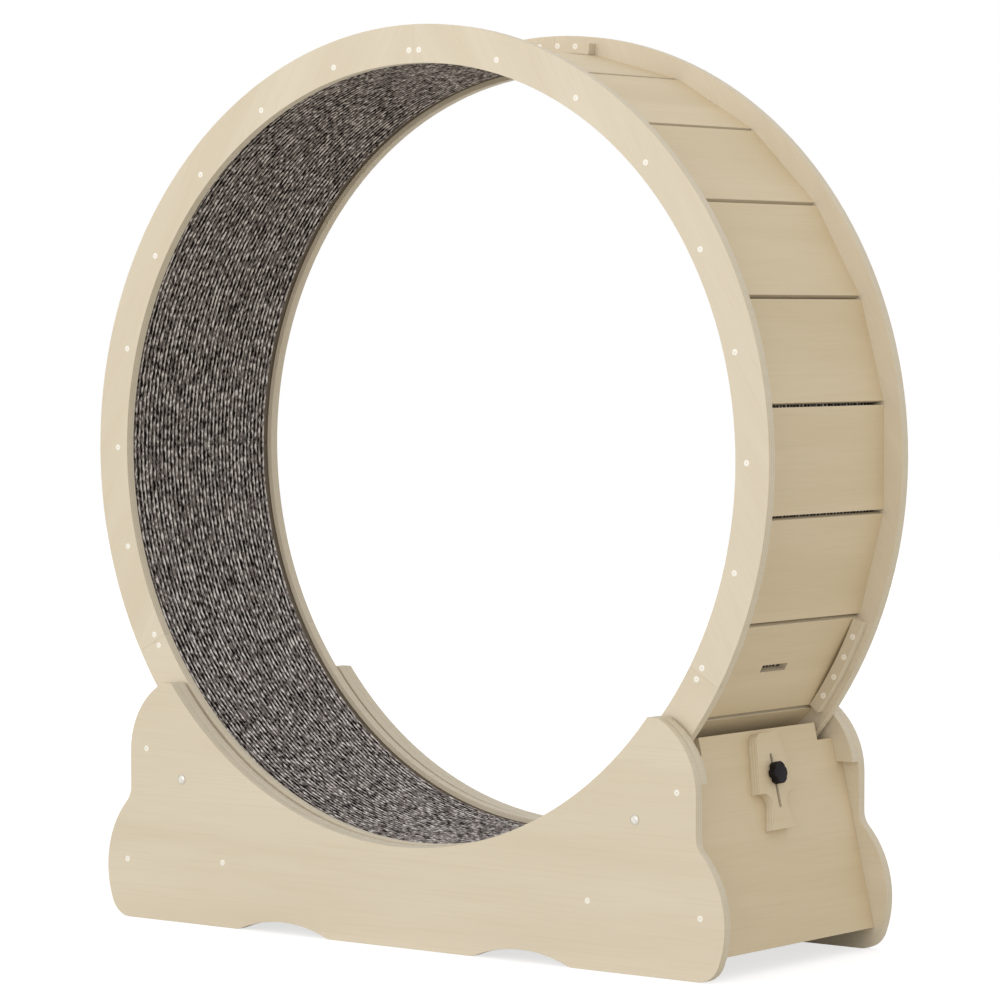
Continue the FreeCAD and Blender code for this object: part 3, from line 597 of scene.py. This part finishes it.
def screwGroup(name, places, outward, body):
    shape = bmesh.new()
    for place in places:
        addScrew(shape, place, outward)
    bmesh.ops.recalc_face_normals(shape, faces=shape.faces)
    mesh = bpy.data.meshes.new(name)
    shape.to_mesh(mesh)
    shape.free()
    # the heads' near-white is partly a painted glint
    newPiece(name, mesh, paleGlintHeads, body)


def onDrum(radius, degrees, y):
    angle = math.radians(degrees)
    return Vector((radius * math.sin(angle), y, drumAxis.z + radius * math.cos(angle)))


def makeScrews():
    look = screwLook
    ringAngles = []
    for degrees in range(0, 360, look["ringStep"]):
        pair = (-look["seamPair"], look["seamPair"]) if degrees in look["seams"] else (0,)
        ringAngles += [degrees + offset for offset in pair]
    spliceAngles = [seam + spot for seam in look["seams"] for spot in look["spliceSpots"]]
    for end, side in (("front", 1), ("back", -1)):
        out = Vector((0, -side, 0))
        screwGroup(f"{end}RingScrews",
                   [onDrum(look["ringRadius"], a, side * ringLow.y) for a in ringAngles],
                   out, "drum")
        screwGroup(f"{end}SpliceScrews",
                   [onDrum(look["spliceRadius"], a, side * spliceHigh.y) for a in spliceAngles],
                   -out, "drum")
        screwGroup(f"{end}PanelScrews",
                   [Vector((x * way, side * panelLow.y, z))
                    for x, z in look["panelSpots"] for way in (-1, 1)],
                   out, "base")
    print("screws made")


makeScrews()


# White surroundings to the camera. The lights are plain white: an even soft fill, and a soft key
# nearly square to the front, which together show the front in true colour. The pale floor bounces
# a little of both back up.
studio = {
    "floorSize": 14,
    "floorDrop": 0.2 * mm,       # the feet's undersides stand clear of the floor's plane
    "floorBounce": "#DCD7CC",    # what lights the object from below
    "floorSeen": "#BCBCBC",      # with the glow it looks white and still takes a shadow
    "floorGlow": 0.7,
    "fillStrength": 0.77,
    "keyStrength": 1.3,
    "keySpread": 60,             # degrees across
    "keyFrom": (-0.05, -1.0, 0.1),
}


def whiteRays(tree):
    # 1 for the rays that see the surroundings, 0 for those that light the object
    ray = addNode(tree, "ShaderNodeLightPath")
    straight = addNode(tree, "ShaderNodeMath", {0: ray.outputs["Is Camera Ray"],
                                                1: ray.outputs["Is Glossy Ray"]}, operation="ADD")
    return addNode(tree, "ShaderNodeMath", {0: straight, 1: ray.outputs["Is Transmission Ray"]},
                   operation="ADD", use_clamp=True)


def makeStudio():
    half = studio["floorSize"] / 2
    mesh = bpy.data.meshes.new("floor")
    mesh.from_pydata([(-half, -half, 0), (half, -half, 0), (half, half, 0), (-half, half, 0)],
                     [], [(0, 1, 2, 3)])
    floor = bpy.data.objects.new("floor", mesh)
    bpy.context.scene.collection.objects.link(floor)
    floor.location.z = -studio["floorDrop"]
    material, tree = newMaterial("paleFloor")
    bounce = addNode(tree, "ShaderNodeBsdfDiffuse", {"Color": linear(studio["floorBounce"])})
    seen = addNode(tree, "ShaderNodeBsdfDiffuse", {"Color": linear(studio["floorSeen"])})
    glow = addNode(tree, "ShaderNodeEmission", {"Strength": studio["floorGlow"]})
    shown = addNode(tree, "ShaderNodeAddShader", {0: seen, 1: glow})
    both = addNode(tree, "ShaderNodeMixShader", {0: whiteRays(tree), 1: bounce, 2: shown})
    addNode(tree, "ShaderNodeOutputMaterial", {"Surface": both})
    mesh.materials.append(material)

    world = bpy.data.worlds.new("studio")
    bpy.context.scene.world = world
    world.use_nodes = True
    tree = world.node_tree
    tree.nodes.clear()
    strength = addNode(tree, "ShaderNodeMapRange",
                       {"Value": whiteRays(tree), 3: studio["fillStrength"], 4: 1.0})
    sky = addNode(tree, "ShaderNodeBackground", {"Color": (1, 1, 1, 1), "Strength": strength})
    addNode(tree, "ShaderNodeOutputWorld", {"Surface": sky})

    key = bpy.data.lights.new("key", "SUN")
    key.energy = studio["keyStrength"]
    key.angle = math.radians(studio["keySpread"])
    lamp = bpy.data.objects.new("key", key)
    bpy.context.scene.collection.objects.link(lamp)
    lamp.rotation_euler = Vector(studio["keyFrom"]).to_track_quat("Z", "Y").to_euler()
    bpy.context.scene.view_settings.view_transform = "Standard"


makeStudio()

# The photograph's view: far back and a little above the drum's axis.
photoView = {
    "place": (3.1420, -4.0092, 0.7329),
    "down": 2.4313,              # degrees
    "turn": 37.9345,
    "lens": 154.02,              # millimetres
}


def makeCamera():
    camera = bpy.data.cameras.new("photoCamera")
    camera.lens = photoView["lens"]
    holder = bpy.data.objects.new("photoCamera", camera)
    bpy.context.scene.collection.objects.link(holder)
    holder.location = photoView["place"]
    holder.rotation_euler = (math.radians(90 - photoView["down"]), 0,
                             math.radians(photoView["turn"]))
    bpy.context.scene.camera = holder


makeCamera()
print("studio and camera made")
